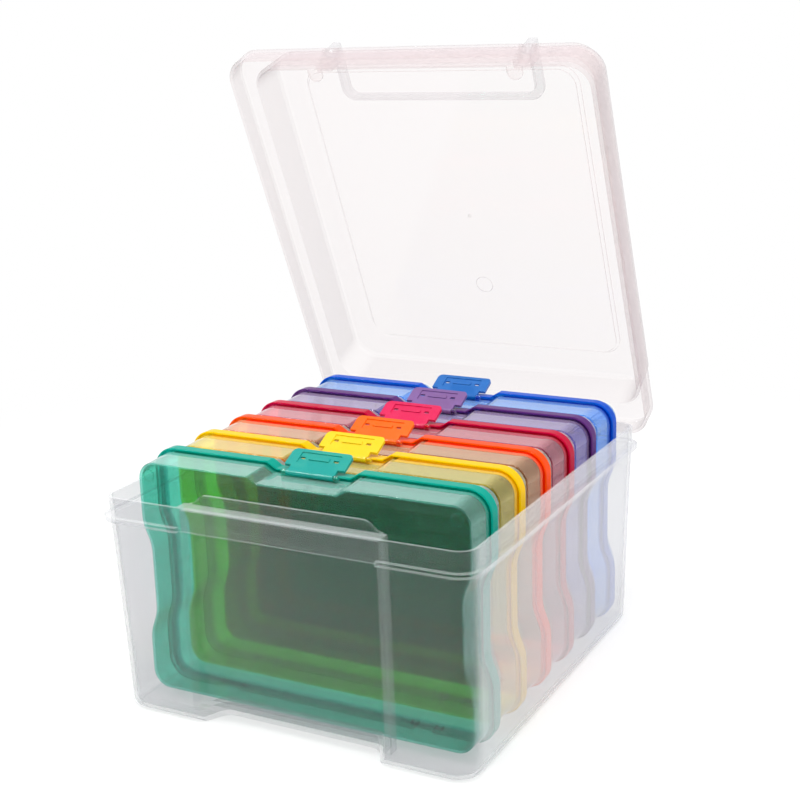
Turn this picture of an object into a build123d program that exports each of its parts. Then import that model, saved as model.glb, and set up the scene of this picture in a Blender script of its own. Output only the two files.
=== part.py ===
"""Photo keeper case: a clear hinged carry box that holds a row of coloured clamshell photo cases.

Millimetres. The origin is the middle of the flat underside of the box, +X runs to the right along
the front, +Y to the back and +Z up. The lid is drawn shut and then turned to the angle it stands
open at. Every piece is written to its own file.
"""
from build123d import *
import os

# ---------------------------------------------------------------- the photo cases
CASE_COLOURS = ("teal", "yellow", "orange", "red", "purple", "blue")
case_width = 198.4
case_height = 132.6
case_wall = 1.2
case_corner = 11.0
case_gap = 0.95
front_shell_depth = 18.4
back_shell_depth = 8.3
shell_taper = 1.0
face_round = 0.9
seam_half = 3.5
seam_proud = 2.1
seam_round = 0.8
waist_inset = 5.0
waist_height = 39.0
waist_run = 12.5
waist_round = 24.0
waist_rise = 45.6
notch_width = 57.0
notch_depth = 3.3
notch_run = 5.5
notch_round = 1.4
pip_radius = 3.0
pip_height = 0.4
pip_edge = 7.0
pip_pitch = 25.0

# the small hinge under each case
foot_hinge_x = 60.0
foot_hinge_width = 18.0
foot_ear = 3.5
foot_pin_radius = 0.6
foot_gap = 0.3

# the latch of each case
latch_pin_back = 15.9
latch_eye_radius = 1.5
latch_pin_radius = 0.75
latch_ear = 2.5
latch_web_width = 28.0
latch_width = 36.0
latch_thick = 1.6
latch_near_back = 4.5
latch_near_rise = 3.0
latch_far_back = 15.5
latch_far_rise = 8.5
latch_tip_round = 3.0
latch_hook_width = 16.0
latch_hook_thick = 1.4
latch_hook_gap = 0.4
latch_panel_width = 24.0
latch_panel_edge = 2.2
latch_panel_depth = 0.5
latch_bar_width = 12.0
latch_bar_depth = 2.2
latch_hole_width = 3.0
latch_hole_depth = 1.6
latch_hole_x = 10.0

# ---------------------------------------------------------------- the box
wall = 1.8
floor = 2.0
draft = 0.02
rim_height = 121.5
rim_corner = 10.0
foot_corner = 14.0
foot_round = 4.5
side_room = 2.2
front_room = 16.7
back_room = 5.5
collar_height = 10.3
flange_thick = 2.5
flange_proud = 3.1
flange_end_round = 1.2
recess_width = 116.0
recess_depth = 7.0
tab_width = 92.0
tab_run = 11.0
tab_rise = 5.5
tab_setback = 1.6
tab_root = 4.0
arch_width = 82.0
arch_run = 19.0
arch_rise = 8.0
arch_depth = 15.0

# ---------------------------------------------------------------- the lid
lid_wall = 1.8
lid_open_angle = 66.0
lid_depth = 38.0
lid_corner = 16.0
lip_overlap = 1.0
lip_room = 0.4
rim_seat = 0.3
tray_inset_front = 11.3
tray_inset_side = 7.4
tray_inset_back = 12.2
tray_taper = 1.4
tray_corner = 15.0
tray_round = 3.0
plateau_height = 1.2
plateau_width = 174.0
plateau_length = 195.0
plateau_corner = 12.0
plateau_from_hinge = 33.0
tongue_x = 62.0
tongue_width = 9.0
tongue_length = 7.5
tongue_round = 4.2

# the lid's hinge
hinge_offset = 10.2
hinge_lid_gap = 1.5
hinge_x = 70.0
hinge_barrel = 14.0
hinge_ear = 3.0
hinge_side_gap = 0.3
hinge_radius = 3.0
hinge_pin_radius = 1.6
hinge_brace = 12.0

# the carry handle
handle_x = 62.0
handle_leg = 5.2
handle_thick = 3.4
handle_bar = 3.4
handle_corner = 8.0
handle_gap = 0.3
handle_length = 31.5
handle_eye_radius = 2.6
handle_pin_radius = 1.2
handle_pin_drop = 4.2
handle_pin_in = 2.2
lug_thick = 2.0
lug_gap = 0.3
lug_radius = 2.8
pocket_back_gap = 1.2
pocket_floor_gap = 0.5

# ---------------------------------------------------------------- fits
pin_clearance = 0.05
body_clearance = 0.3
overlap = 0.5
same_place = 0.001

# ---------------------------------------------------------------- places worked out from the sizes
case_thick = front_shell_depth + 2 * seam_half + back_shell_depth
case_pitch = case_thick + case_gap
case_count = len(CASE_COLOURS)
stack_depth = case_count * case_pitch - case_gap
case_bottom = floor + body_clearance + seam_proud
case_top = case_bottom + case_height
seam_width = case_width + 2 * seam_proud

floor_half_width = seam_width / 2 + side_room + wall
floor_half_depth = (front_room + stack_depth + back_room) / 2 + wall
first_face = -floor_half_depth + wall + front_room

flange_top = rim_height - collar_height
flange_bottom = flange_top - flange_thick
tab_top = rim_height + tab_rise

lip_bottom = flange_top - lip_overlap
ledge_under = rim_height + rim_seat
ledge_top = ledge_under + lid_wall
panel_top = lip_bottom + lid_depth
panel_under = panel_top - lid_wall

rim_half_width = floor_half_width + draft * rim_height
rim_half_depth = floor_half_depth + draft * rim_height
lip_half_width = rim_half_width + flange_proud + lip_room + lid_wall
lip_front = -(rim_half_depth + flange_proud + lip_room + lid_wall)
hinge_y = rim_half_depth + hinge_offset
hinge_z = lip_bottom
lip_back = hinge_y - hinge_lid_gap

tray_front = lip_front + tray_inset_front
handle_pin_y = tray_front + handle_pin_in
handle_pin_z = panel_top - handle_pin_drop
handle_under = panel_top + plateau_height + handle_gap
handle_top = handle_under + handle_thick
lug_inner = handle_leg / 2 + lug_gap
pocket_back = handle_pin_y + handle_eye_radius + pocket_back_gap
pocket_floor = 2 * handle_pin_z - handle_top - pocket_floor_gap


# ---------------------------------------------------------------- helpers
def span(x_low, x_high, y_low, y_high, z_low, z_high):
    """A block between two corners."""
    middle = ((x_low + x_high) / 2, (y_low + y_high) / 2, (z_low + z_high) / 2)
    return Pos(*middle) * Box(x_high - x_low, y_high - y_low, z_high - z_low)


def along_x(outline, x_low, x_high):
    """A prism of an outline of (y, z) points from one x to another."""
    plane = Plane(origin=(x_low, 0, 0), x_dir=(0, 1, 0), z_dir=(1, 0, 0))
    return extrude(plane * make_face(Polyline(*outline, close=True)), x_high - x_low)


def rod_x(radius, y, z, x_low, x_high):
    """A round rod parallel to the x axis."""
    plane = Plane(origin=(x_low, y, z), x_dir=(0, 1, 0), z_dir=(1, 0, 0))
    return extrude(plane * Circle(radius), x_high - x_low)


def upright(y):
    """The upright drawing plane at one y, with x to the right and z up, facing the front."""
    return Plane(origin=(0, y, 0), x_dir=(1, 0, 0), z_dir=(0, -1, 0))


def slab_y(face, y_low, y_high):
    """A drawn (x, z) face thickened from one y back to another."""
    return extrude(upright(y_low) * face, -(y_high - y_low))


def both_sides(piece):
    """A piece and its mirror image across the middle plane."""
    return piece + mirror(piece, Plane.YZ)


def slope_block(size_low, size_high, z_low, z_high, corner_low, corner_high):
    """A drafted block; each size is (x half width, y low, y high)."""
    faces = []
    for (half, y_low, y_high), z, corner in (
        (size_low, z_low, corner_low),
        (size_high, z_high, corner_high),
    ):
        place = Pos(0, (y_low + y_high) / 2, z)
        faces.append(place * RectangleRounded(2 * half, y_high - y_low, corner))
    return loft(faces, ruled=True)


# ---------------------------------------------------------------- the photo cases
def case_outline(grow):
    """The case seen from the front, with its waist and top notch, larger all round by grow."""
    half = case_width / 2 + grow
    low, high = case_bottom - grow, case_top + grow
    waist = half - waist_inset
    waist_low = case_bottom + waist_rise
    waist_high = waist_low + waist_height
    notch_top = notch_width / 2 - grow / 2
    notch_floor = notch_top - notch_run
    right = [
        (half, low),
        (half, waist_low - waist_run),
        (waist, waist_low),
        (waist, waist_high),
        (half, waist_high + waist_run),
        (half, high),
        (notch_top, high),
        (notch_floor, high - notch_depth),
    ]
    left = [(-x, z) for x, z in reversed(right)]
    face = make_face(Polyline(*right, *left, close=True))
    corners = face.vertices().filter_by(lambda v: abs(abs(v.X) - half) < same_place and (
        abs(v.Y - low) < same_place or abs(v.Y - high) < same_place))
    face = fillet(corners, case_corner + grow)
    bends = face.vertices().filter_by(lambda v: waist - same_place < abs(v.X) < half + same_place and (
        waist_low - waist_run - same_place < v.Y < waist_high + waist_run + same_place))
    face = fillet(bends, waist_round)
    dips = face.vertices().filter_by(lambda v: abs(v.X) < notch_top + same_place)
    return fillet(dips, notch_round)


def case_tray(face_y, seam_y, depth_sign):
    """A shallow tray from its outer face to its half of the seam, with its cavity cut out."""
    root = seam_y - depth_sign * seam_half
    outer = loft([upright(face_y) * case_outline(-shell_taper), upright(root) * case_outline(0)],
                 ruled=True)
    rim_edges = outer.edges().filter_by(lambda e: abs(e.center().Y - face_y) < same_place)
    outer = fillet(rim_edges, face_round)
    bead = slab_y(case_outline(seam_proud), min(root, seam_y), max(root, seam_y))
    proud_edges = bead.edges().filter_by(lambda e: abs(e.center().Y - root) < same_place)
    bead = fillet(proud_edges, seam_round)
    inside = loft([upright(face_y + depth_sign * case_wall) * case_outline(-shell_taper - case_wall),
                   upright(root) * case_outline(-case_wall)], ruled=True)
    mouth = slab_y(case_outline(-case_wall), min(root, seam_y), max(root, seam_y))
    return outer + bead - inside - mouth


def foot_hinge_slot(seam_y):
    """The gap in the seam bead where the small hinge under a case sits."""
    half = foot_hinge_width / 2
    bottom = case_bottom - seam_proud
    slot = span(foot_hinge_x - half, foot_hinge_x + half, seam_y - seam_half - overlap,
                seam_y + seam_half + overlap, bottom - overlap, case_bottom)
    return both_sides(slot)


def foot_hinge_pin(seam_y):
    """The back shell's tongues and their pin ends."""
    half = foot_hinge_width / 2 - foot_ear - foot_gap
    bottom = case_bottom - seam_proud
    middle = bottom + seam_proud / 2
    tongue = span(foot_hinge_x - half, foot_hinge_x + half, seam_y - seam_proud / 2,
                  seam_y + seam_half, bottom, case_bottom - foot_gap)
    root = span(foot_hinge_x - half, foot_hinge_x + half, seam_y,
                seam_y + seam_half, middle, case_bottom + case_wall / 2)
    reach = foot_hinge_width / 2 - foot_gap
    pin = rod_x(foot_pin_radius, seam_y, middle, foot_hinge_x - reach, foot_hinge_x + reach)
    return both_sides(tongue + root + pin)


def foot_hinge_ears(seam_y):
    """The front shell's pairs of ears around the back shell's pins."""
    half = foot_hinge_width / 2
    bottom = case_bottom - seam_proud
    middle = bottom + seam_proud / 2
    ears = None
    for low in (foot_hinge_x - half, foot_hinge_x + half - foot_ear):
        ear = span(low, low + foot_ear, seam_y - seam_half, seam_y + seam_proud / 2,
                   bottom, case_bottom - foot_gap)
        ear += span(low, low + foot_ear, seam_y - seam_half, seam_y,
                    middle, case_bottom + case_wall / 2)
        ears = ear if ears is None else ears + ear
    bore = rod_x(foot_pin_radius + pin_clearance, seam_y, middle, foot_hinge_x - half - overlap,
                 foot_hinge_x + half + overlap)
    return both_sides(ears - bore)


def pips(face_y):
    """Small round pads near the corners of the front face."""
    half = case_width / 2 - shell_taper
    places = []
    for side in (-1, 1):
        places.append((side * (half - pip_edge), case_top - shell_taper - pip_edge))
        places.append((side * (half - pip_edge), case_bottom + shell_taper + pip_edge))
        places.append((side * (half - pip_edge - pip_pitch), case_bottom + shell_taper + pip_edge))
    drawn = Sketch() + [Pos(x, z) * Circle(pip_radius) for x, z in places]
    return slab_y(drawn, face_y - pip_height, face_y + case_wall / 2)


def latch_axis(face_y):
    """The y and z of a latch's pin."""
    notch_floor = case_top - notch_depth
    return face_y + latch_pin_back, notch_floor + body_clearance + latch_eye_radius


def latch_ears(face_y):
    """The front shell's two ears that carry the latch."""
    pin_y, pin_z = latch_axis(face_y)
    low = latch_web_width / 2 + body_clearance
    reach = latch_eye_radius
    block = span(low, low + latch_ear, pin_y - reach, pin_y + reach,
                 case_top - notch_depth - case_wall / 2, pin_z)
    round_top = rod_x(reach, pin_y, pin_z, low, low + latch_ear)
    bore = rod_x(latch_pin_radius + pin_clearance, pin_y, pin_z, low - overlap,
                 low + latch_ear + overlap)
    return both_sides(block + round_top - bore)


def front_shell(face_y):
    """The deeper clear tray, which carries the latch and the front pads."""
    seam_y = face_y + front_shell_depth + seam_half
    shell = case_tray(face_y, seam_y, 1) - foot_hinge_slot(seam_y)
    return shell + foot_hinge_ears(seam_y) + pips(face_y) + latch_ears(face_y)


def back_shell(face_y):
    """The shallow tray that closes the case from behind."""
    seam_y = face_y + front_shell_depth + seam_half
    shell = case_tray(face_y + case_thick, seam_y, -1) - foot_hinge_slot(seam_y)
    return shell + foot_hinge_pin(seam_y)


def latch_plate(pin_y, pin_z):
    """The sloping finger plate with its pressed panel, raised bar and two holes."""
    run = latch_far_back - latch_near_back
    rise = latch_far_rise - latch_near_rise
    length = (run ** 2 + rise ** 2) ** 0.5
    place = Plane(origin=(0, pin_y + latch_near_back, pin_z + latch_near_rise),
                  x_dir=(1, 0, 0), z_dir=(0, -rise, run))
    plate = Pos(0, length / 2, -latch_thick / 2) * Box(latch_width, length, latch_thick)
    plate = fillet(plate.edges().filter_by(Axis.Z).group_by(Axis.Y)[-1], latch_tip_round)
    middle = length / 2
    panel_length = length - 2 * latch_panel_edge
    plate -= Pos(0, middle, 0) * Box(latch_panel_width, panel_length, 2 * latch_panel_depth)
    plate += Pos(0, middle, -latch_panel_depth) * Box(
        latch_bar_width, latch_bar_depth, 2 * latch_panel_depth)
    for side in (-1, 1):
        plate -= Pos(side * latch_hole_x, middle, 0) * Box(
            latch_hole_width, latch_hole_depth, 4 * latch_thick)
    return place * plate


def latch(face_y):
    """The lever over the seam: eye and pins, upright web, finger plate and hook."""
    pin_y, pin_z = latch_axis(face_y)
    half = latch_web_width / 2
    near_y, near_z = pin_y + latch_near_back, pin_z + latch_near_rise
    web = along_x([(pin_y - latch_eye_radius, pin_z), (pin_y + latch_eye_radius, pin_z),
                   (near_y + latch_thick, near_z - latch_thick / 2), (near_y, near_z)], -half, half)
    eye = rod_x(latch_eye_radius, pin_y, pin_z, -half, half)
    reach = half + body_clearance + latch_ear
    pins = rod_x(latch_pin_radius, pin_y, pin_z, -reach, reach)
    hook_y = face_y + front_shell_depth + 2 * seam_half + latch_hook_gap
    slope = (latch_far_rise - latch_near_rise) / (latch_far_back - latch_near_back)
    hook_top = near_z + (hook_y - near_y) * slope - latch_thick / 2
    hook = span(-latch_hook_width / 2, latch_hook_width / 2, hook_y, hook_y + latch_hook_thick,
                case_top - notch_depth + body_clearance, hook_top)
    return latch_plate(pin_y, pin_z) + web + eye + pins + hook


# ---------------------------------------------------------------- the box
def front_y(z, depth):
    """The y of a sheet that lies a depth behind the box's outer front face at one height."""
    return -(floor_half_depth + draft * z) + depth


def front_sheet(z_low, z_high, depth_low, depth_high, x_half):
    """A sheet parallel to the front face between two depths and two heights."""
    outline = [(front_y(z_low, depth_low), z_low), (front_y(z_low, depth_high), z_low),
               (front_y(z_high, depth_high), z_high), (front_y(z_high, depth_low), z_high)]
    return along_x(outline, -x_half, x_half)


def swept_edge(half_low, half_high, z_low, z_high, z_base, z_cap):
    """A face from a base height to a cap, whose sides run in along an S between two widths."""
    middle = ((half_low + half_high) / 2, (z_low + z_high) / 2)
    side = Line((half_low, z_base), (half_low, z_low)) + Spline(
        (half_low, z_low), middle, (half_high, z_high), tangents=((-1, 0), (-1, 0)))
    if z_cap > z_high:
        side += Line((half_high, z_high), (half_high, z_cap))
    other = mirror(side, Plane.YZ)
    top = Line((half_high, max(z_cap, z_high)), (-half_high, max(z_cap, z_high)))
    base = Line((half_low, z_base), (-half_low, z_base))
    return make_face(side + top + other + base)


def box_size(z, inset):
    """The box's half width and its front and back at one height."""
    half_width = floor_half_width + draft * z - inset
    half_depth = floor_half_depth + draft * z - inset
    return half_width, -half_depth, half_depth


def box_block():
    """The drafted outer block with a round along its foot."""
    outer = slope_block(box_size(0, 0), box_size(rim_height, 0), 0, rim_height,
                        foot_corner, rim_corner)
    return fillet(outer.edges().group_by(Axis.Z)[0], foot_round)


def box_room():
    """The room inside the walls, above the floor."""
    inner = slope_block(box_size(floor, wall), box_size(rim_height, wall), floor, rim_height,
                        foot_corner - wall, rim_corner - wall)
    return fillet(inner.edges().group_by(Axis.Z)[0], foot_round - wall)


def flange():
    """The thin lip round the walls, which stops short of the recess at the front."""
    half_width = floor_half_width + draft * flange_top
    half_depth = floor_half_depth + draft * flange_top
    ring = RectangleRounded(2 * (half_width + flange_proud), 2 * (half_depth + flange_proud),
                            rim_corner + flange_proud)
    ring -= RectangleRounded(2 * (half_width - wall / 2), 2 * (half_depth - wall / 2), rim_corner)
    opening = Pos(0, -half_depth) * Rectangle(recess_width, 4 * flange_proud)
    ring -= opening
    ends = ring.vertices().filter_by(lambda v: abs(abs(v.X) - recess_width / 2) < same_place
                                     and v.Y < -half_depth - flange_proud / 2)
    ring = fillet(ends, flange_end_round)
    return extrude(Pos(0, 0, flange_bottom) * ring, flange_thick)


def recess_sheet():
    """The inner sheet behind the front recess, and the recess's own floor."""
    low = arch_rise - wall
    return front_sheet(low, rim_height, wall / 2, recess_depth + wall, recess_width / 2 + wall)


def rim_tab():
    """The tab that stands above the rim, just behind the inner sheet, with its S-shaped ends."""
    sheet = front_sheet(rim_height - tab_root, tab_top, recess_depth + tab_setback,
                        recess_depth + tab_setback + wall, recess_width / 2 + wall)
    face = swept_edge(tab_width / 2 + tab_run, tab_width / 2, rim_height, tab_top,
                      rim_height - tab_root, tab_top)
    return sheet & slab_y(face, -2 * floor_half_depth, 0)


def recess_cuts():
    """The room taken out in front of the inner sheet: the recess and the finger slot above it."""
    half = recess_width / 2
    recess = front_sheet(arch_rise, flange_bottom, -floor_half_depth, recess_depth, half)
    slot = front_sheet(flange_bottom - overlap, rim_height - wall, wall, recess_depth, half)
    return recess + slot


def arch(grow):
    """The space of the notch under the front, S-shaped in plan, larger all round by grow."""
    half = arch_width / 2 + grow
    front = front_y(0, 0)
    back = front + arch_depth + grow
    plan = swept_edge(half + arch_run, half, front, back, 2 * front, back)
    return extrude(Pos(0, 0, -overlap) * plan, arch_rise + grow + overlap)


def hinge_ears():
    """Two pairs of ears behind the back wall, bored for the lid's pins."""
    root = rim_half_depth - wall
    outline = [(root, hinge_z - hinge_brace), (hinge_y + hinge_radius / 2, hinge_z - hinge_radius / 2),
               (hinge_y, hinge_z + hinge_radius / 2), (root, hinge_z)]
    pair = None
    for low in (hinge_x - hinge_barrel / 2 - hinge_side_gap - hinge_ear,
                hinge_x + hinge_barrel / 2 + hinge_side_gap):
        ear = along_x(outline, low, low + hinge_ear)
        ear += rod_x(hinge_radius, hinge_y, hinge_z, low, low + hinge_ear)
        pair = ear if pair is None else pair + ear
    bore = rod_x(hinge_pin_radius + pin_clearance, hinge_y, hinge_z,
                 hinge_x - hinge_barrel, hinge_x + hinge_barrel)
    return both_sides(pair - bore)


def tub():
    """The box: walls, lip, recessed front with its tab, arch and hinge ears."""
    inside = span(-floor_half_width, floor_half_width, -2 * floor_half_depth,
                  floor_half_depth, 0, arch_rise + wall)
    block = box_block()
    body = block - box_room() + flange() + (recess_sheet() & block) + (arch(wall) & inside & block)
    return body - arch(0) - recess_cuts() + rim_tab() + hinge_ears()


# ---------------------------------------------------------------- the lid
def tray_size(z, inset):
    """The raised tray's half width and its front and back at one height."""
    share = (z - ledge_top) / (panel_top - ledge_top)
    pull = tray_taper * share + inset
    return (lip_half_width - tray_inset_side - pull, lip_front + tray_inset_front + pull,
            lip_back - tray_inset_back - pull)


def lid_shell():
    """The lip, the ledge that rests on the rim and the raised tray, hollow from below."""
    lip_size = (lip_half_width, lip_front, lip_back)
    lip_inner = (lip_half_width - lid_wall, lip_front + lid_wall, lip_back - lid_wall)
    lip = slope_block(lip_size, lip_size, lip_bottom, ledge_top, lid_corner, lid_corner)
    lip = fillet(lip.edges().group_by(Axis.Z)[-1], lid_wall)
    tray = slope_block(tray_size(ledge_top, 0), tray_size(panel_top, 0), ledge_top - lid_wall / 2,
                       panel_top, tray_corner, tray_corner)
    tray = fillet(tray.edges().group_by(Axis.Z)[-1], tray_round)
    lip_room_below = slope_block(lip_inner, lip_inner, lip_bottom, ledge_under,
                                 lid_corner - lid_wall, lid_corner - lid_wall)
    tray_room = slope_block(tray_size(ledge_under, lid_wall), tray_size(panel_under, lid_wall),
                            ledge_under - overlap, panel_under,
                            tray_corner - lid_wall, tray_corner - lid_wall)
    return lip + tray - lip_room_below - tray_room


def plateau(inset, z_low, z_high):
    """The raised rectangle in the lid's panel."""
    middle = hinge_y - plateau_from_hinge - plateau_length / 2
    drawn = RectangleRounded(plateau_width - 2 * inset, plateau_length - 2 * inset,
                             plateau_corner - inset)
    return extrude(Pos(0, middle, z_low) * drawn, z_high - z_low)


def tongues():
    """Two small rounded tongues that reach inward from the ledge beside the tab."""
    start = tray_front + lid_wall / 2
    length = lid_wall / 2 + tongue_length
    plan = Pos(tongue_x, start + length / 2) * Rectangle(tongue_width, length)
    plan = fillet(plan.vertices().group_by(Axis.Y)[-1], tongue_round)
    return both_sides(extrude(Pos(0, 0, ledge_under) * plan, lid_wall))


def pocket_walls():
    """The walls round the two handle pockets, with round lugs at the pins."""
    reach = lug_inner + lug_thick
    front = tray_front + tray_taper + lid_wall / 2
    box = span(handle_x - reach, handle_x + reach, front, pocket_back + lug_thick,
               pocket_floor - lug_thick, panel_top)
    lug = rod_x(lug_radius, handle_pin_y, handle_pin_z, handle_x - reach, handle_x + reach)
    return both_sides(box + lug)


def pocket_rooms():
    """The room in the two handle pockets and the bores for the handle's pins."""
    reach = lug_inner + lug_thick + overlap
    room = span(handle_x - lug_inner, handle_x + lug_inner, 2 * lip_front, pocket_back,
                pocket_floor, panel_top + handle_thick)
    bore = rod_x(handle_pin_radius + pin_clearance, handle_pin_y, handle_pin_z,
                 handle_x - reach, handle_x + reach)
    return both_sides(room + bore)


def hinge_barrels():
    """The lid's barrels with their pins, and the webs that hold them."""
    half = hinge_barrel / 2
    barrel = rod_x(hinge_radius, hinge_y, hinge_z, hinge_x - half, hinge_x + half)
    web = span(hinge_x - half, hinge_x + half, lip_back - lid_wall, hinge_y,
               hinge_z, hinge_z + 2 * hinge_radius)
    reach = half + hinge_side_gap + hinge_ear
    pin = rod_x(hinge_pin_radius, hinge_y, hinge_z, hinge_x - reach, hinge_x + reach)
    return both_sides(barrel + web + pin)


def hinge_slots():
    """Gaps in the lid's back lip round the ears of the box."""
    reach = hinge_barrel / 2 + hinge_ear + 3 * hinge_side_gap
    slot = span(hinge_x - reach, hinge_x + reach, lip_back - 2 * lid_wall, lip_back + overlap,
                lip_bottom - overlap, hinge_z + 2 * hinge_radius)
    return both_sides(slot)


def opened(piece):
    """A piece of the lid turned from shut to where it stands open."""
    return piece.rotate(Axis((0, hinge_y, hinge_z), (-1, 0, 0)), lid_open_angle)


def lid():
    """The lid, drawn shut."""
    body = lid_shell() + plateau(0, panel_top - lid_wall / 2, panel_top + plateau_height)
    body -= plateau(lid_wall, panel_under - overlap, panel_under + plateau_height)
    body = body - hinge_slots() + hinge_barrels()
    return body + tongues() + pocket_walls() - pocket_rooms()


def handle():
    """The carry handle, folded back on the lid's panel."""
    half = handle_leg / 2
    front_edge = handle_pin_y - handle_eye_radius
    back_edge = handle_pin_y + handle_length + handle_bar / 2
    outer = Pos(0, (front_edge + back_edge) / 2) * Rectangle(
        2 * (handle_x + half), back_edge - front_edge)
    outer = fillet(outer.vertices().group_by(Axis.Y)[-1], handle_corner)
    gap_front = front_edge - handle_length
    gap_back = back_edge - handle_bar
    inner = Pos(0, (gap_front + gap_back) / 2) * Rectangle(
        2 * (handle_x - half), gap_back - gap_front)
    inner = fillet(inner.vertices().group_by(Axis.Y)[-1], handle_corner - half)
    bail = extrude(Pos(0, 0, handle_under) * (outer - inner), handle_thick)
    neck = span(handle_x - half, handle_x + half, front_edge, handle_pin_y + handle_eye_radius,
                handle_pin_z, handle_top)
    eye = rod_x(handle_eye_radius, handle_pin_y, handle_pin_z, handle_x - half, handle_x + half)
    reach = lug_inner + lug_thick
    pin = rod_x(handle_pin_radius, handle_pin_y, handle_pin_z, handle_x - reach, handle_x + reach)
    return bail + both_sides(neck + eye + pin)


# ---------------------------------------------------------------- writing
def pieces():
    """Every piece under its name, at rest."""
    made = {"tub": tub(), "lid": opened(lid()), "carry_handle": opened(handle())}
    for index, colour in enumerate(CASE_COLOURS):
        face_y = first_face + index * case_pitch
        made[f"{colour}_front_shell"] = front_shell(face_y)
        made[f"{colour}_back_shell"] = back_shell(face_y)
        made[f"{colour}_latch"] = latch(face_y)
    return made


def write(made):
    """One file for each piece."""
    os.makedirs("parts", exist_ok=True)
    for name, piece in made.items():
        export_step(piece, f"parts/{name}.step")


MADE = pieces()
write(MADE)
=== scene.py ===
"""Photo keeper case: looks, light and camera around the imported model.

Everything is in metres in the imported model's frame: +X right along the front, +Y back, +Z up.
"""

import logging
import math
from dataclasses import dataclass, field
from enum import Enum

import bpy
from mathutils import Matrix, Vector


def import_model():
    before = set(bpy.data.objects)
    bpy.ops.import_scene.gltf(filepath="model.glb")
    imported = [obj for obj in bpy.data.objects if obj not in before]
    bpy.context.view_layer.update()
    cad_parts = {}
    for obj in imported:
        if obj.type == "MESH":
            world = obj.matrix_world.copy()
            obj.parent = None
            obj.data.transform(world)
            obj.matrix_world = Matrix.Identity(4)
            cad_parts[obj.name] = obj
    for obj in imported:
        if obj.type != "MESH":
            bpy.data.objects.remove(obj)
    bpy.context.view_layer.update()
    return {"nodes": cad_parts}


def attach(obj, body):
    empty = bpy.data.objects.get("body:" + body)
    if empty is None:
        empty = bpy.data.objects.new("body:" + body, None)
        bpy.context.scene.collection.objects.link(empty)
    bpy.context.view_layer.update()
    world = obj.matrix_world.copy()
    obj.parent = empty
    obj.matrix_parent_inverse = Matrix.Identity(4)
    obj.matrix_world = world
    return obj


LOG = logging.getLogger("photo_keeper_case")
CASE_FACE = -0.097875
CASE_PITCH = 0.03465


class CaseColour(Enum):
    """The six inner cases, front to back, as (name, wall tint, seam colour, lever colour)."""

    TEAL = ("teal", (0.54, 0.90, 0.83), (0.0, 0.30, 0.23), (0.0, 0.38, 0.34))
    YELLOW = ("yellow", (1.0, 0.94, 0.42), (0.80, 0.48, 0.0), (0.95, 0.70, 0.01))
    ORANGE = ("orange", (1.0, 0.74, 0.50), (0.88, 0.06, 0.0), (1.0, 0.16, 0.0))
    RED = ("red", (0.99, 0.52, 0.58), (0.46, 0.0, 0.03), (0.80, 0.01, 0.11))
    PURPLE = ("purple", (0.72, 0.62, 0.80), (0.09, 0.02, 0.15), (0.26, 0.13, 0.36))
    BLUE = ("blue", (0.50, 0.72, 0.99), (0.0, 0.07, 0.52), (0.0, 0.16, 0.56))


class PlasticDetail:
    """The shared node group that gives moulded plastic its fine surface."""

    name = "moulded_plastic_detail"

    @classmethod
    def get(cls) -> bpy.types.NodeTree:
        """Builds the group once.

        Returns:
            The shader node group, with inputs Vector, Flow Scale, Grain Scale, Rough Low and
            Rough High, and outputs Cloud, Roughness and Height.
        """
        found = bpy.data.node_groups.get(cls.name)
        if found:
            return found
        tree = bpy.data.node_groups.new(cls.name, "ShaderNodeTree")
        face = tree.interface
        face.new_socket("Vector", in_out="INPUT", socket_type="NodeSocketVector")
        for label, value in (("Flow Scale", 14.0), ("Grain Scale", 900.0),
                             ("Rough Low", 0.15), ("Rough High", 0.3)):
            face.new_socket(label, in_out="INPUT", socket_type="NodeSocketFloat").default_value = value
        for label in ("Cloud", "Roughness", "Height"):
            face.new_socket(label, in_out="OUTPUT", socket_type="NodeSocketFloat")
        nodes, links = tree.nodes, tree.links
        enter = nodes.new("NodeGroupInput")
        leave = nodes.new("NodeGroupOutput")
        flow = nodes.new("ShaderNodeTexNoise")
        flow.inputs["Detail"].default_value = 3.0
        flow.inputs["Roughness"].default_value = 0.55
        grain = nodes.new("ShaderNodeTexNoise")
        grain.inputs["Detail"].default_value = 2.0
        spread = nodes.new("ShaderNodeMapRange")
        spread.inputs["From Min"].default_value = 0.3
        spread.inputs["From Max"].default_value = 0.7
        height = nodes.new("ShaderNodeMath")
        height.operation = "MULTIPLY_ADD"
        height.inputs[1].default_value = 0.6
        links.new(enter.outputs["Vector"], flow.inputs["Vector"])
        links.new(enter.outputs["Vector"], grain.inputs["Vector"])
        links.new(enter.outputs["Flow Scale"], flow.inputs["Scale"])
        links.new(enter.outputs["Grain Scale"], grain.inputs["Scale"])
        links.new(flow.outputs["Fac"], spread.inputs["Value"])
        links.new(enter.outputs["Rough Low"], spread.inputs["To Min"])
        links.new(enter.outputs["Rough High"], spread.inputs["To Max"])
        links.new(grain.outputs["Fac"], height.inputs[0])
        links.new(flow.outputs["Fac"], height.inputs[2])
        links.new(flow.outputs["Fac"], leave.inputs["Cloud"])
        links.new(spread.outputs["Result"], leave.inputs["Roughness"])
        links.new(height.outputs["Value"], leave.inputs["Height"])
        return tree


@dataclass(frozen=True)
class SeamBand:
    """Where a case's seam bead lies along Y, its colour, its tint and how much it hides.

    Cover is for its outside, seen from outside, and inner cover for all its other faces.
    """

    low: float
    high: float
    middle_z: float
    colour: tuple[float, float, float]
    tint: tuple[float, float, float]
    cover: float = 0.88
    inner_cover: float = 0.15


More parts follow.
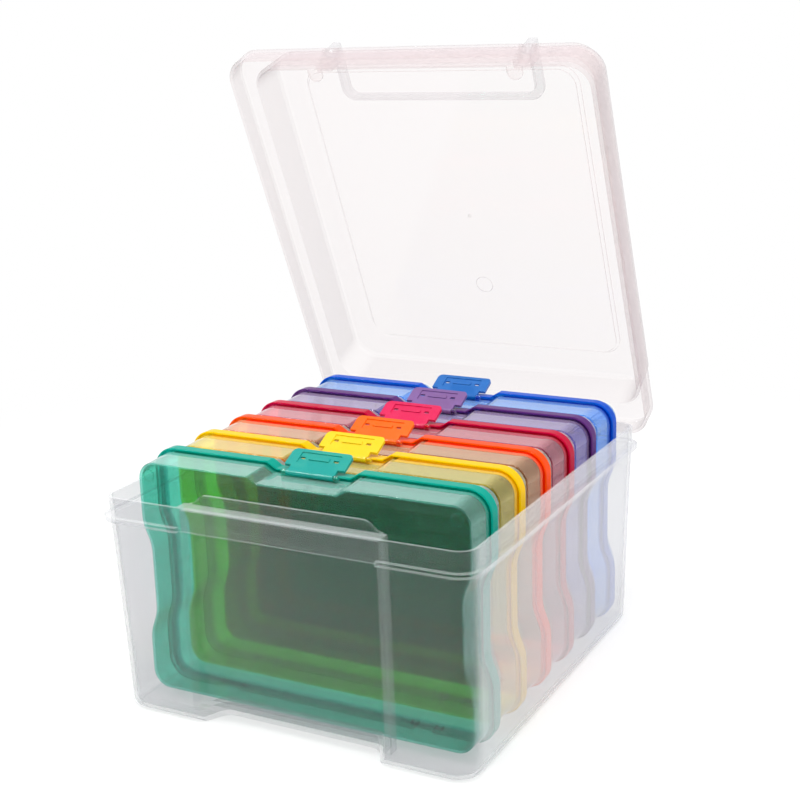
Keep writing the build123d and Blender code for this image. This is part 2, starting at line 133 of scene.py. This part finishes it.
@dataclass(frozen=True)
class ClearPlastic:
    """A clear moulded plastic wall.

    The tint colours what is seen through one surface, and the body colour is what the surface
    itself scatters. Cover is how much it hides face on, and edge cover how much at a glance.
    """

    name: str
    tint: tuple[float, float, float]
    body: tuple[float, float, float]
    cover: float
    edge_cover: float
    rough_low: float = 0.06
    rough_high: float = 0.14
    bump: float = 0.05
    flow_scale: float = 14.0
    falloff: float = 3.0
    gloss: float = 0.018
    glance_gloss: float = 0.5
    band: SeamBand | None = None

    def build(self) -> bpy.types.Material:
        """Builds the material.

        Returns:
            The finished material.
        """
        made = bpy.data.materials.new(self.name)
        made.use_nodes = True
        nodes, links = made.node_tree.nodes, made.node_tree.links
        shader = nodes["Principled BSDF"]
        place = nodes.new("ShaderNodeTexCoord")
        detail = nodes.new("ShaderNodeGroup")
        detail.node_tree = PlasticDetail.get()
        detail.inputs["Flow Scale"].default_value = self.flow_scale
        detail.inputs["Rough Low"].default_value = self.rough_low
        detail.inputs["Rough High"].default_value = self.rough_high
        links.new(place.outputs["Object"], detail.inputs["Vector"])
        tone = nodes.new("ShaderNodeMix")
        tone.data_type = "RGBA"
        tone.inputs["A"].default_value = (*(0.88 * c for c in self.body), 1.0)
        tone.inputs["B"].default_value = (*self.body, 1.0)
        links.new(detail.outputs["Cloud"], tone.inputs["Factor"])
        edge = nodes.new("ShaderNodeLayerWeight")
        edge.inputs["Blend"].default_value = 0.5
        steep = nodes.new("ShaderNodeMath")
        steep.operation = "POWER"
        steep.inputs[1].default_value = self.falloff
        links.new(edge.outputs["Facing"], steep.inputs[0])
        cover = nodes.new("ShaderNodeMapRange")
        cover.inputs["To Min"].default_value = self.cover
        cover.inputs["To Max"].default_value = self.edge_cover
        links.new(steep.outputs["Value"], cover.inputs["Value"])
        colour, hide = tone.outputs["Result"], cover.outputs["Result"]
        if self.band:
            near = self.add_mask(nodes, links, place)
            colour = self.add_mix(nodes, links, near, colour, self.band.colour)
            hide = self.add_step(nodes, links, near, self.add_outside(nodes, links, place), hide)
        links.new(colour, shader.inputs["Base Color"])
        links.new(detail.outputs["Roughness"], shader.inputs["Roughness"])
        bump = nodes.new("ShaderNodeBump")
        bump.inputs["Strength"].default_value = self.bump
        bump.inputs["Distance"].default_value = 0.0003
        links.new(detail.outputs["Height"], bump.inputs["Height"])
        links.new(bump.outputs["Normal"], shader.inputs["Normal"])
        shader.inputs["IOR"].default_value = 1.49
        shader.inputs["Specular IOR Level"].default_value = 0.05 if self.band else 0.25
        through = nodes.new("ShaderNodeBsdfTransparent")
        through.inputs["Color"].default_value = (*self.tint, 1.0)
        if self.band:
            deep = nodes.new("ShaderNodeMix")
            deep.data_type = "RGBA"
            deep.inputs["A"].default_value = (*self.tint, 1.0)
            deep.inputs["B"].default_value = (*self.band.tint, 1.0)
            links.new(near, deep.inputs["Factor"])
            links.new(deep.outputs["Result"], through.inputs["Color"])
        mix = nodes.new("ShaderNodeMixShader")
        links.new(hide, mix.inputs["Fac"])
        links.new(through.outputs["BSDF"], mix.inputs[1])
        links.new(shader.outputs["BSDF"], mix.inputs[2])
        mask = near if self.band else None
        shine = self.add_shine(nodes, links, mix.outputs["Shader"], detail, bump, mask)
        links.new(shine, nodes["Material Output"].inputs["Surface"])
        return made

    def add_shine(self, nodes: bpy.types.Nodes, links: bpy.types.NodeLinks,
                  under: bpy.types.NodeSocket, detail: bpy.types.Node,
                  bump: bpy.types.Node,
                  mask: bpy.types.NodeSocket | None) -> bpy.types.NodeSocket:
        """Lays the surface's clear reflection over everything else.

        Args:
            nodes: The material's nodes.
            links: The material's links.
            under: The shader underneath.
            detail: The node that gives the roughness.
            bump: The node that gives the normal.
            mask: The seam's mask, where the reflection is weaker, or nothing.

        Returns:
            The socket of the shader with its reflection.
        """
        glance = nodes.new("ShaderNodeLayerWeight")
        glance.inputs["Blend"].default_value = 0.5
        power = nodes.new("ShaderNodeMath")
        power.operation = "POWER"
        power.inputs[1].default_value = 4.0
        links.new(glance.outputs["Facing"], power.inputs[0])
        share = nodes.new("ShaderNodeMapRange")
        share.inputs["To Min"].default_value = self.gloss
        share.inputs["To Max"].default_value = self.glance_gloss
        links.new(power.outputs["Value"], share.inputs["Value"])
        amount = share.outputs["Result"]
        if mask:
            keep = nodes.new("ShaderNodeMapRange")
            keep.inputs["To Min"].default_value = 1.0
            keep.inputs["To Max"].default_value = 0.06
            links.new(mask, keep.inputs["Value"])
            weaker = nodes.new("ShaderNodeMath")
            weaker.operation = "MULTIPLY"
            links.new(amount, weaker.inputs[0])
            links.new(keep.outputs["Result"], weaker.inputs[1])
            amount = weaker.outputs["Value"]
        gloss = nodes.new("ShaderNodeBsdfAnisotropic")
        links.new(detail.outputs["Roughness"], gloss.inputs["Roughness"])
        links.new(bump.outputs["Normal"], gloss.inputs["Normal"])
        mix = nodes.new("ShaderNodeMixShader")
        links.new(amount, mix.inputs["Fac"])
        links.new(under, mix.inputs[1])
        links.new(gloss.outputs["BSDF"], mix.inputs[2])
        return mix.outputs["Shader"]

    def add_mask(self, nodes: bpy.types.Nodes, links: bpy.types.NodeLinks,
                 place: bpy.types.Node) -> bpy.types.NodeSocket:
        """Adds a mask that is 1 on the seam bead.

        Args:
            nodes: The material's nodes.
            links: The material's links.
            place: The texture coordinate node.

        Returns:
            The mask's socket.
        """
        split = nodes.new("ShaderNodeSeparateXYZ")
        links.new(place.outputs["Object"], split.inputs["Vector"])
        near = nodes.new("ShaderNodeMath")
        near.operation = "COMPARE"
        near.inputs[1].default_value = (self.band.low + self.band.high) / 2
        near.inputs[2].default_value = (self.band.high - self.band.low) / 2
        links.new(split.outputs["Y"], near.inputs[0])
        return near.outputs["Value"]

    def add_mix(self, nodes: bpy.types.Nodes, links: bpy.types.NodeLinks,
                mask: bpy.types.NodeSocket, under: bpy.types.NodeSocket,
                colour: tuple[float, float, float]) -> bpy.types.NodeSocket:
        """Lays a colour over another where a mask is 1.

        Args:
            nodes: The material's nodes.
            links: The material's links.
            mask: The mask.
            under: The colour underneath.
            colour: The colour laid on.

        Returns:
            The mixed colour's socket.
        """
        seam = nodes.new("ShaderNodeMix")
        seam.data_type = "RGBA"
        seam.inputs["B"].default_value = (*colour, 1.0)
        links.new(mask, seam.inputs["Factor"])
        links.new(under, seam.inputs["A"])
        return seam.outputs["Result"]

    def add_outside(self, nodes: bpy.types.Nodes, links: bpy.types.NodeLinks,
                    place: bpy.types.Node) -> bpy.types.NodeSocket:
        """Adds how much the bead hides: more on its outside than on its inside.

        Args:
            nodes: The material's nodes.
            links: The material's links.
            place: The texture coordinate node.

        Returns:
            The socket that holds the bead's cover.
        """
        from_middle = nodes.new("ShaderNodeVectorMath")
        from_middle.operation = "SUBTRACT"
        from_middle.inputs[1].default_value = (0.0, 0.0, self.band.middle_z)
        links.new(place.outputs["Object"], from_middle.inputs[0])
        flat = nodes.new("ShaderNodeVectorMath")
        flat.operation = "MULTIPLY"
        flat.inputs[1].default_value = (1.0, 0.0, 1.0)
        links.new(from_middle.outputs["Vector"], flat.inputs[0])
        shape = nodes.new("ShaderNodeNewGeometry")
        away = nodes.new("ShaderNodeVectorMath")
        away.operation = "DOT_PRODUCT"
        links.new(flat.outputs["Vector"], away.inputs[0])
        links.new(shape.outputs["Normal"], away.inputs[1])
        outside = nodes.new("ShaderNodeMath")
        outside.operation = "GREATER_THAN"
        outside.inputs[1].default_value = 0.001
        links.new(away.outputs["Value"], outside.inputs[0])
        cover = nodes.new("ShaderNodeMapRange")
        cover.inputs["To Min"].default_value = self.band.inner_cover
        cover.inputs["To Max"].default_value = self.band.cover
        links.new(outside.outputs["Value"], cover.inputs["Value"])
        return cover.outputs["Result"]

    def add_step(self, nodes: bpy.types.Nodes, links: bpy.types.NodeLinks,
                 mask: bpy.types.NodeSocket, bead: bpy.types.NodeSocket,
                 hide: bpy.types.NodeSocket) -> bpy.types.NodeSocket:
        """Raises how much the surface hides on the seam bead.

        Args:
            nodes: The material's nodes.
            links: The material's links.
            mask: The seam's mask.
            bead: How much the seam bead hides.
            hide: How much the plain wall hides.

        Returns:
            The socket that holds the result.
        """
        raised = nodes.new("ShaderNodeMath")
        raised.operation = "MULTIPLY"
        links.new(mask, raised.inputs[0])
        links.new(bead, raised.inputs[1])
        most = nodes.new("ShaderNodeMath")
        most.operation = "MAXIMUM"
        links.new(raised.outputs["Value"], most.inputs[0])
        links.new(hide, most.inputs[1])
        return most.outputs["Value"]


def dress(node: bpy.types.Object, material: bpy.types.Material) -> None:
    """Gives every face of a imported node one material.

    Args:
        node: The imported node's object.
        material: The finish it takes.
    """
    node.data.materials.clear()
    node.data.materials.append(material)


@dataclass(frozen=True)
class MouldRings:
    """The thin round witness rings that a mould leaves, laid at a list of places."""

    name: str
    places: tuple[tuple[float, float, float], ...]
    radius: float
    wire: float
    turn: tuple[float, float, float] = (math.pi / 2, 0.0, 0.0)
    tree_name: str = "mould_rings"

    def tree(self) -> bpy.types.NodeTree:
        """Builds the shared tree once.

        Returns:
            The node tree, with inputs Geometry, Radius, Wire, Turn and Finish.
        """
        found = bpy.data.node_groups.get(self.tree_name)
        if found:
            return found
        tree = bpy.data.node_groups.new(self.tree_name, "GeometryNodeTree")
        face = tree.interface
        face.new_socket("Geometry", in_out="INPUT", socket_type="NodeSocketGeometry")
        face.new_socket("Radius", in_out="INPUT", socket_type="NodeSocketFloat")
        face.new_socket("Wire", in_out="INPUT", socket_type="NodeSocketFloat")
        face.new_socket("Turn", in_out="INPUT", socket_type="NodeSocketVector")
        face.new_socket("Finish", in_out="INPUT", socket_type="NodeSocketMaterial")
        face.new_socket("Geometry", in_out="OUTPUT", socket_type="NodeSocketGeometry")
        nodes, links = tree.nodes, tree.links
        enter, leave = nodes.new("NodeGroupInput"), nodes.new("NodeGroupOutput")
        loop = nodes.new("GeometryNodeCurvePrimitiveCircle")
        loop.inputs["Resolution"].default_value = 28
        section = nodes.new("GeometryNodeCurvePrimitiveCircle")
        section.inputs["Resolution"].default_value = 6
        ring = nodes.new("GeometryNodeCurveToMesh")
        spread = nodes.new("GeometryNodeInstanceOnPoints")
        real = nodes.new("GeometryNodeRealizeInstances")
        smooth = nodes.new("GeometryNodeSetShadeSmooth")
        finish = nodes.new("GeometryNodeSetMaterial")
        links.new(enter.outputs["Radius"], loop.inputs["Radius"])
        links.new(enter.outputs["Wire"], section.inputs["Radius"])
        links.new(loop.outputs["Curve"], ring.inputs["Curve"])
        links.new(section.outputs["Curve"], ring.inputs["Profile Curve"])
        links.new(enter.outputs["Geometry"], spread.inputs["Points"])
        links.new(ring.outputs["Mesh"], spread.inputs["Instance"])
        links.new(enter.outputs["Turn"], spread.inputs["Rotation"])
        links.new(spread.outputs["Instances"], real.inputs["Geometry"])
        links.new(real.outputs["Geometry"], smooth.inputs["Geometry"])
        links.new(smooth.outputs["Geometry"], finish.inputs["Geometry"])
        links.new(enter.outputs["Finish"], finish.inputs["Material"])
        links.new(finish.outputs["Geometry"], leave.inputs["Geometry"])
        return tree

    def make(self, body: str, slot: str, material: bpy.types.Material) -> bpy.types.Object:
        """Makes the rings as one plain mesh that rides on a body.

        Args:
            body: The body they ride on.
            slot: Not used.
            material: Their finish.

        Returns:
            The finished object.
        """
        seeds = bpy.data.meshes.new(self.name + "_seeds")
        seeds.from_pydata(list(self.places), [], [])
        carrier = bpy.data.objects.new(self.name + "_seeds", seeds)
        bpy.context.scene.collection.objects.link(carrier)
        maker = carrier.modifiers.new("rings", "NODES")
        tree = self.tree()
        maker.node_group = tree
        values = {"Radius": self.radius, "Wire": self.wire, "Turn": self.turn, "Finish": material}
        for item in tree.interface.items_tree:
            if item.in_out == "INPUT" and item.name in values:
                maker[item.identifier] = values[item.name]
        depth = bpy.context.evaluated_depsgraph_get()
        mesh = bpy.data.meshes.new_from_object(carrier.evaluated_get(depth))
        bpy.data.objects.remove(carrier)
        mesh.name = self.name
        made = bpy.data.objects.new(self.name, mesh)
        bpy.context.scene.collection.objects.link(made)
        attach(made, body)
        return made


@dataclass
class CarryBox:
    """The clear box, its lid and the folding handle."""

    nodes: dict[str, bpy.types.Object]
    body: ClearPlastic = field(default_factory=lambda: ClearPlastic(
        "frosted_clear_box", (0.90, 0.90, 0.908), (0.97, 0.98, 0.99), 0.01, 0.9, 0.08, 0.16,
        falloff=3.2, glance_gloss=0.35))
    cover: ClearPlastic = field(default_factory=lambda: ClearPlastic(
        "clear_lid", (0.996, 0.982, 0.981), (0.56, 0.49, 0.51), 0.0, 0.85,
        0.06, 0.14, falloff=2.6, gloss=0.01, glance_gloss=0.3))
    grip: ClearPlastic = field(default_factory=lambda: ClearPlastic(
        "clear_handle", (0.97, 0.965, 0.97), (0.60, 0.58, 0.60), 0.04, 0.8, 0.03, 0.07))
    mark_finish: ClearPlastic = field(default_factory=lambda: ClearPlastic(
        "lid_mark", (0.97, 0.96, 0.96), (0.66, 0.63, 0.64), 0.06, 0.8, 0.1, 0.2))
    hinge_y: float = 0.129005
    hinge_z: float = 0.1102
    lean_up: float = 1.15192
    mark_x: float = 0.003
    dot_along: float = 0.130
    dot_radius: float = 0.0009
    ring_along: float = 0.080
    ring_radius: float = 0.0055
    mark_wire: float = 0.0002

    def make(self) -> list[str]:
        """Dresses the three pieces.

        Returns:
            The names of the pieces it dressed.
        """
        clear = self.cover.build()
        dress(self.nodes["lid"], clear)
        for name, finish in (("tub", self.body), ("carry_handle", self.grip)):
            dress(self.nodes[name], finish.build())
        mark = self.mark_finish.build()
        marks = []
        for name, along, radius in (("lid_gate_dot", self.dot_along, self.dot_radius),
                                    ("lid_gate_ring", self.ring_along, self.ring_radius)):
            rings = MouldRings(name, (self.on_panel(self.mark_x, along),), radius, self.mark_wire,
                               (-self.lean_up, 0.0, 0.0))
            rings.make("lid_body", "clear_box", mark)
            marks.append(name)
        return ["tub", "lid", "carry_handle", *marks]

    def on_panel(self, x: float, along: float) -> tuple[float, float, float]:
        """Finds the inner face of the open lid's panel.

        Args:
            x: The place across the lid.
            along: The distance from the hinge along the lid.

        Returns:
            The place on the lid's inner face.
        """
        up = Vector((0, -math.cos(self.lean_up), math.sin(self.lean_up)))
        out = Vector((0, math.sin(self.lean_up), math.cos(self.lean_up)))
        start = Vector((x, self.hinge_y, self.hinge_z)) + along * up
        hit, place, _normal, _face = self.nodes["lid"].ray_cast(start, out)
        return tuple(place) if hit else tuple(start)


@dataclass
class PhotoCase:
    """One tinted clamshell case with its flip latch."""

    nodes: dict[str, bpy.types.Object]
    colour: CaseColour
    place: int
    seam_front: float = 0.0184
    seam_depth: float = 0.007
    middle_z: float = 0.07
    dye: float = 0.9
    glow_least: float = 0.16
    glow_power: float = 0.35
    pad_x: float = 0.0912
    pad_inner_x: float = 0.0662
    pad_high: float = 0.129
    pad_low: float = 0.0124
    pad_radius: float = 0.0033
    pad_wire: float = 0.0003

    def make(self) -> list[str]:
        """Dresses the case's shells and latch.

        Returns:
            The names of the pieces it dressed.
        """
        name, tint, seam, lever = self.colour.value
        low = CASE_FACE + self.place * CASE_PITCH + self.seam_front
        glow = tuple(self.glow_least + (1 - self.glow_least) * c ** self.glow_power for c in seam)
        band = SeamBand(low, low + self.seam_depth, self.middle_z, seam, glow)
        dyed = tuple(self.dye * c for c in tint)
        shell = ClearPlastic(f"{name}_tint", tint, dyed, 0.008, 0.9, 0.03, 0.08,
                             glance_gloss=1.0, band=band).build()
        latch = ClearPlastic(f"{name}_lever_tint", tint, lever, 0.7, 0.9, 0.04, 0.1,
                             glance_gloss=0.25)
        dress(self.nodes[f"{name}_front_shell"], shell)
        dress(self.nodes[f"{name}_back_shell"], shell)
        dress(self.nodes[f"{name}_latch"], latch.build())
        rings = MouldRings(f"{name}_pad_rings", self.pad_places(), self.pad_radius, self.pad_wire)
        rings.make(f"{name}_case", f"{name}_clear", shell)
        return [f"{name}_front_shell", f"{name}_back_shell", f"{name}_latch", rings.name]

    def pad_places(self) -> tuple[tuple[float, float, float], ...]:
        """Finds the middles of the round pads on the front face."""
        face_y = CASE_FACE + self.place * CASE_PITCH - self.pad_wire / 3
        spots = ((self.pad_x, self.pad_high), (self.pad_x, self.pad_low),
                 (self.pad_inner_x, self.pad_low))
        return tuple((side * x, face_y, z) for side in (-1, 1) for x, z in spots)


def add_seen(nodes: bpy.types.Nodes, links: bpy.types.NodeLinks,
         path: bpy.types.Node) -> bpy.types.NodeSocket:
    """Adds a value that is 1 for what the camera sees, also by gloss or through plastic.

    Args:
        nodes: The tree's nodes.
        links: The tree's links.
        path: Its Light Path node.

    Returns:
        The socket that holds the value.
    """
    first = nodes.new("ShaderNodeMath")
    first.operation = "MAXIMUM"
    second = nodes.new("ShaderNodeMath")
    second.operation = "MAXIMUM"
    links.new(path.outputs["Is Camera Ray"], first.inputs[0])
    links.new(path.outputs["Is Glossy Ray"], first.inputs[1])
    links.new(first.outputs["Value"], second.inputs[0])
    links.new(path.outputs["Is Transmission Ray"], second.inputs[1])
    return second.outputs["Value"]


@dataclass
class Studio:
    """Floor, world, lamps and the camera at the photograph's place."""

    eye: tuple[float, float, float] = (0.3689, -0.6720, 0.3572)
    target: tuple[float, float, float] = (0.01001, 0.0, 0.15618)
    roll_degrees: float = -1.7284
    lens: float = 63.79
    floor_size: float = 8.0
    shadow_reach: float = 0.7
    floor_white: float = 0.6
    world_light: float = 1.0
    side_light: float = 0.45
    bounces: int = 48

    def build_camera(self) -> None:
        """Puts the camera where the photograph was taken from."""
        forward = (Vector(self.target) - Vector(self.eye)).normalized()
        right = forward.cross(Vector((0, 0, 1))).normalized()
        up = right.cross(forward)
        turn = math.radians(self.roll_degrees)
        right_now = right * math.cos(turn) + up * math.sin(turn)
        up_now = up * math.cos(turn) - right * math.sin(turn)
        camera = bpy.data.objects.new("photo_camera", bpy.data.cameras.new("photo_camera"))
        camera.data.lens = self.lens
        camera.data.sensor_width = 36.0
        camera.data.clip_start = 0.05
        turned = Matrix((right_now, up_now, -forward)).transposed().to_4x4()
        camera.matrix_world = Matrix.Translation(Vector(self.eye)) @ turned
        bpy.context.scene.collection.objects.link(camera)
        bpy.context.scene.camera = camera

    def build_floor(self) -> None:
        """Lays a white floor that keeps the shadow near the object and fades to plain white."""
        half = self.floor_size / 2
        mesh = bpy.data.meshes.new("floor")
        mesh.from_pydata([(-half, -half, 0), (half, -half, 0), (half, half, 0), (-half, half, 0)],
                         [], [(0, 1, 2, 3)])
        floor = bpy.data.objects.new("floor", mesh)
        made = bpy.data.materials.new("floor_white")
        made.use_nodes = True
        nodes, links = made.node_tree.nodes, made.node_tree.links
        matt = nodes["Principled BSDF"]
        matt.inputs["Base Color"].default_value = (0.93, 0.93, 0.93, 1.0)
        matt.inputs["Roughness"].default_value = 0.9
        matt.inputs["Specular IOR Level"].default_value = 0.1
        white = nodes.new("ShaderNodeEmission")
        place = nodes.new("ShaderNodeTexCoord")
        reach = nodes.new("ShaderNodeVectorMath")
        reach.operation = "LENGTH"
        fade = nodes.new("ShaderNodeMapRange")
        fade.interpolation_type = "SMOOTHSTEP"
        fade.inputs["From Min"].default_value = self.shadow_reach / 3
        fade.inputs["From Max"].default_value = self.shadow_reach
        fade.inputs["To Min"].default_value = self.floor_white
        path = nodes.new("ShaderNodeLightPath")
        shown = add_seen(nodes, links, path)
        share = nodes.new("ShaderNodeMath")
        share.operation = "MULTIPLY"
        mix = nodes.new("ShaderNodeMixShader")
        links.new(place.outputs["Object"], reach.inputs[0])
        links.new(reach.outputs["Value"], fade.inputs["Value"])
        links.new(fade.outputs["Result"], share.inputs[0])
        links.new(shown, share.inputs[1])
        links.new(share.outputs["Value"], mix.inputs["Fac"])
        links.new(matt.outputs["BSDF"], mix.inputs[1])
        links.new(white.outputs["Emission"], mix.inputs[2])
        links.new(mix.outputs["Shader"], nodes["Material Output"].inputs["Surface"])
        mesh.materials.append(made)
        bpy.context.scene.collection.objects.link(floor)

    def build_world(self) -> None:
        """Lights softly, brighter from above, and shows white behind the object."""
        world = bpy.data.worlds.new("studio")
        bpy.context.scene.world = world
        world.use_nodes = True
        nodes, links = world.node_tree.nodes, world.node_tree.links
        back = nodes["Background"]
        path = nodes.new("ShaderNodeLightPath")
        shown = add_seen(nodes, links, path)
        place = nodes.new("ShaderNodeTexCoord")
        split = nodes.new("ShaderNodeSeparateXYZ")
        links.new(place.outputs["Generated"], split.inputs["Vector"])
        rise = nodes.new("ShaderNodeMapRange")
        rise.inputs["From Min"].default_value = -0.1
        rise.inputs["From Max"].default_value = 0.9
        rise.inputs["To Min"].default_value = self.side_light
        rise.inputs["To Max"].default_value = self.world_light
        links.new(split.outputs["Z"], rise.inputs["Value"])
        shade = nodes.new("ShaderNodeMix")
        links.new(shown, shade.inputs["Factor"])
        links.new(rise.outputs["Result"], shade.inputs["A"])
        shade.inputs["B"].default_value = 1.0
        links.new(shade.outputs["Result"], back.inputs["Strength"])
        back.inputs["Color"].default_value = (1.0, 1.0, 1.0, 1.0)

    def build_lamp(self, name: str, place: tuple[float, float, float], size: float,
                   power: float) -> None:
        """Hangs one soft lamp that points at the middle of the object.

        Args:
            name: The lamp's name.
            place: Where it hangs, in metres.
            size: The side of its square, in metres.
            power: Its power in watts.
        """
        lamp = bpy.data.lights.new(name, "AREA")
        lamp.size = size
        lamp.energy = power
        held = bpy.data.objects.new(name, lamp)
        held.location = place
        aim = Vector((0, 0, 0.12)) - Vector(place)
        held.rotation_euler = aim.to_track_quat("-Z", "Y").to_euler()
        bpy.context.scene.collection.objects.link(held)

    def make(self) -> None:
        """Builds the whole studio."""
        scene = bpy.context.scene
        scene.view_settings.view_transform = "Standard"
        scene.cycles.max_bounces = self.bounces
        scene.cycles.transmission_bounces = self.bounces
        scene.cycles.transparent_max_bounces = self.bounces
        self.build_world()
        self.build_floor()
        self.build_camera()
        self.build_lamp("key_above", (0.3, -0.2, 1.7), 0.8, 13.0)
        self.build_lamp("streak_left", (-0.8, -0.45, 1.35), 0.4, 9.0)
        self.build_lamp("rim_right", (1.5, 0.3, 0.9), 0.5, 5.0)


def main() -> None:
    """Builds the studio and every piece in order, and logs the name of each piece it dresses."""
    logging.basicConfig(level=logging.INFO)
    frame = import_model()
    Studio().make()
    for name in CarryBox(frame["nodes"]).make():
        LOG.info("dressed %s", name)
    for place, colour in enumerate(CaseColour):
        for name in PhotoCase(frame["nodes"], colour, place).make():
            LOG.info("dressed %s", name)


if __name__ == "__main__":
    main()
